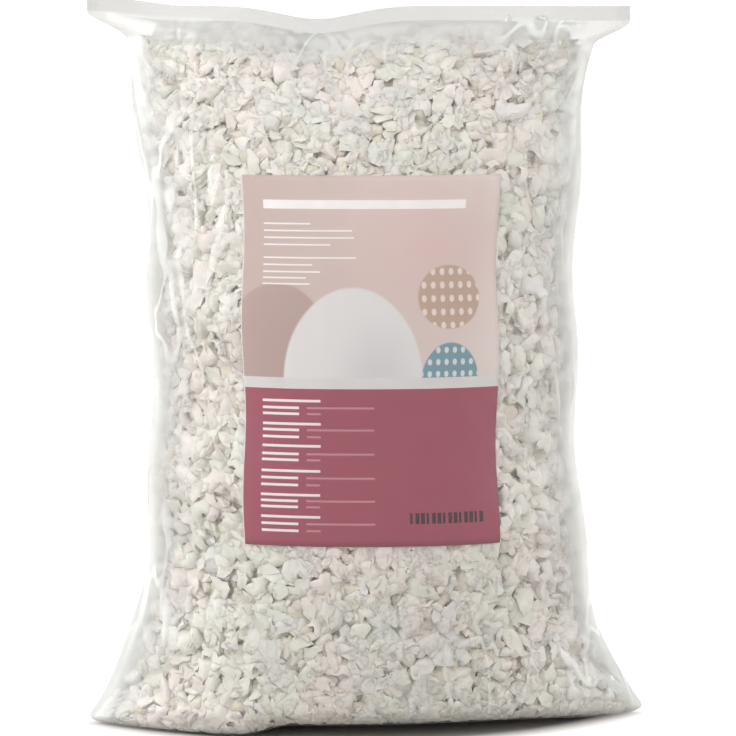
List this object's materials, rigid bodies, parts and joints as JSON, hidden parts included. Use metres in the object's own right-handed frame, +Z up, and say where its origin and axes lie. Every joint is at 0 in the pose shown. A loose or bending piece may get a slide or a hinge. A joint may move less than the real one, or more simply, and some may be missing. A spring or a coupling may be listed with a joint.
{
  "type": "bag of foam flakes",
  "caption": "Clear film pillow bag packed with shredded foam flakes, standing on its base, with a printed sheet behind the front film.",
  "frame": {"origin": "on the floor, at the middle of the flat base", "axes": "+Z up, and the front with the printed sheet faces -Y, so +X is to the right seen from the front"},
  "size_m": [0.4576, 0.2254, 0.596],
  "materials": {
    "film": "clear polyethylene film, glossy, with a soft haze where it lies double",
    "foam": "matt open-cell foam, off-white",
    "paper": "printed paper, satin, pale pink above and dark pink below"
  },
  "bodies": {
    "root": {"film_bag": "film", "foam_flakes": "foam", "front_sheet": "paper"}
  },
  "joints": []
}
